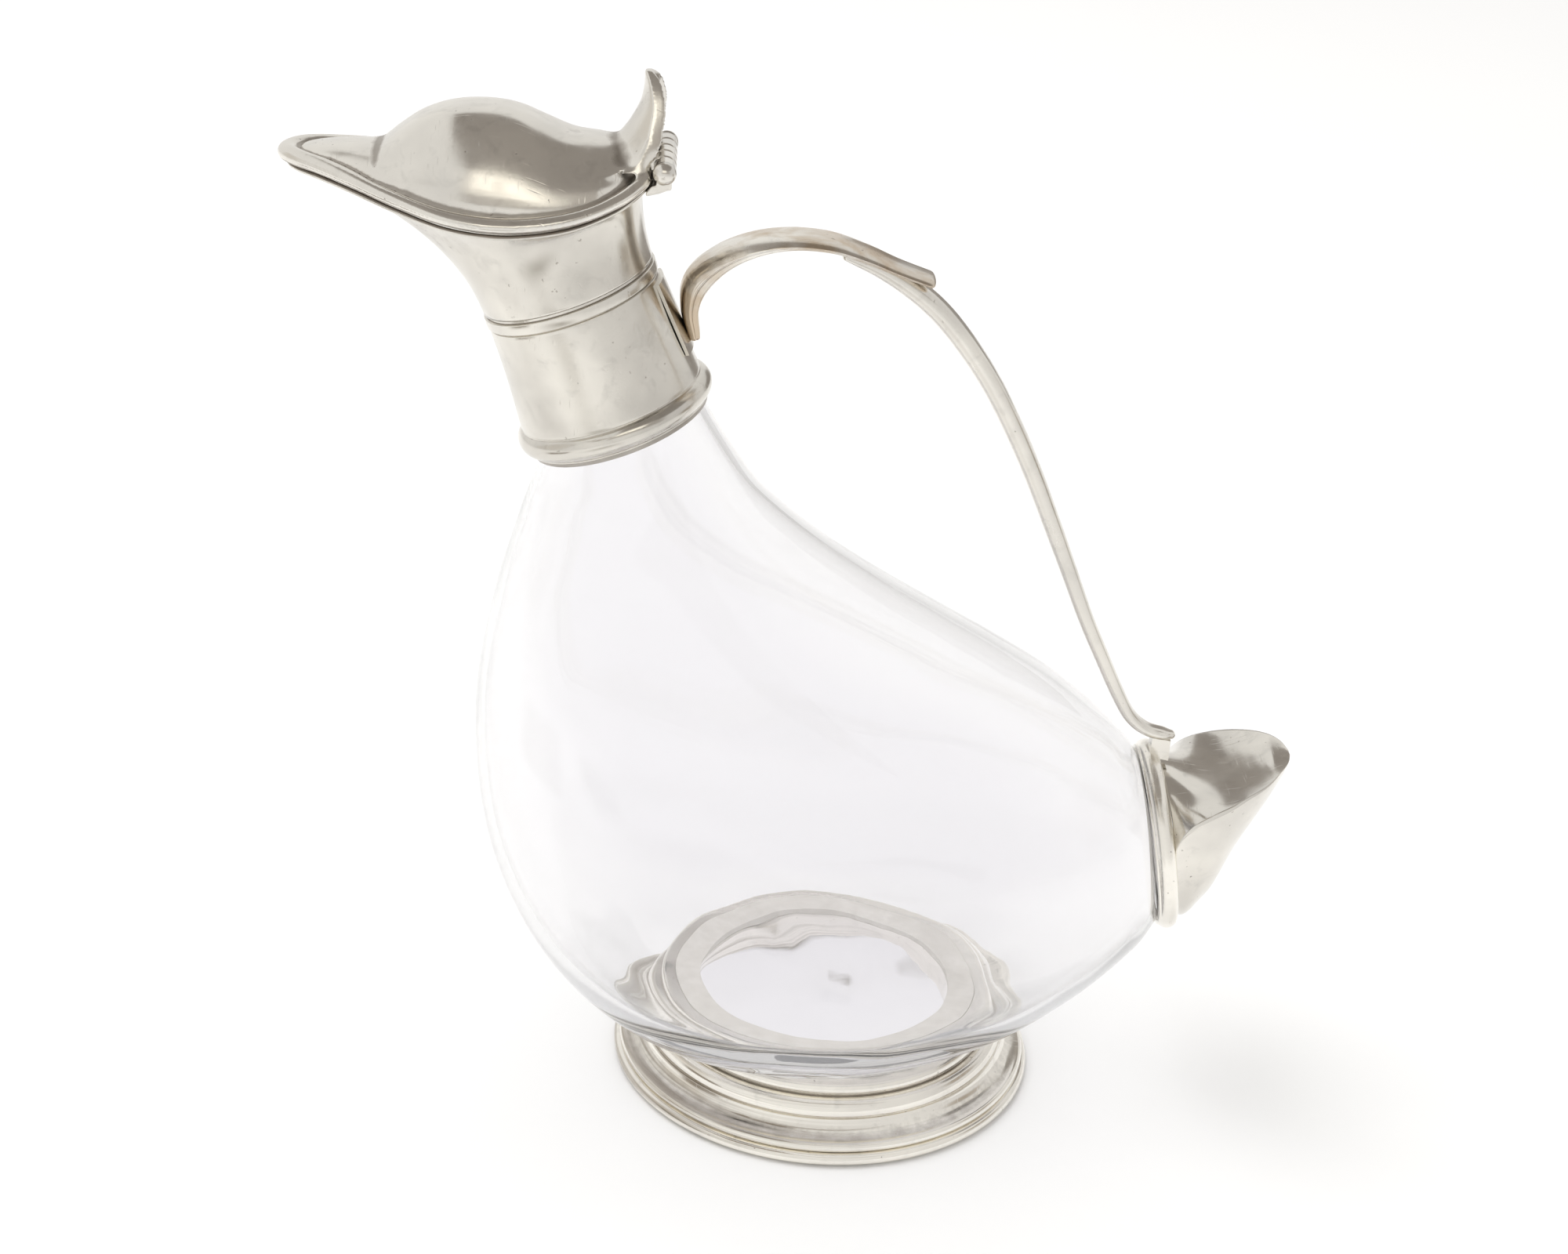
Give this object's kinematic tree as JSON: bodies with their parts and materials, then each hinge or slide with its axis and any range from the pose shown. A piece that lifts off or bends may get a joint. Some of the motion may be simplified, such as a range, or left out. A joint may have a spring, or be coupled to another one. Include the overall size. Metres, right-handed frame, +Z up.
{
  "type": "claret jug",
  "caption": "Duck-shaped clear glass jug in pewter mounts, with a ring foot, a curved side handle and a hinged lid over a long spout.",
  "frame": {"origin": "centre of the round foot, on the surface that the jug stands on", "axes": "+Z up, beak towards -X, tail towards +X; XZ is the mirror plane"},
  "size_m": [0.254, 0.123, 0.262],
  "materials": {
    "clear_glass": "clear",
    "pewter": "satin, worn",
    "pewter_bright": "polished, softly worn",
    "cement": "matte"
  },
  "bodies": {
    "jug": {"glass_body": "clear_glass", "foot_rim": "pewter_bright", "foot_base": "pewter", "foot_seat": "pewter", "foot_cement": "cement", "collar_lip": "pewter", "collar_bead": "pewter_bright", "collar_sleeve": "pewter", "collar_band": "pewter_bright", "collar_cement": "cement", "spout": "pewter_bright", "spout_rim": "pewter_bright", "hinge_bracket": "pewter", "hinge_pin": "pewter_bright", "hinge_caps": "pewter_bright", "handle_saddle": "pewter", "handle_leaf": "pewter_bright", "handle_stem": "pewter_bright", "handle_tail_pad": "pewter", "tail_ring": "pewter", "tail_cement": "cement", "tail_shell": "pewter_bright"},
    "lid": {"lid_shell": "pewter_bright", "lid_edge": "pewter_bright", "lid_knuckles": "pewter", "thumbpiece": "pewter_bright"}
  },
  "joints": [
    {"name": "lid_hinge", "type": "hinge", "parent": "jug", "child": "lid", "pos_m": [-0.0515, 0, 0.2416], "axis": [0, 1, 0], "range_deg": [0, 95]}
  ]
}
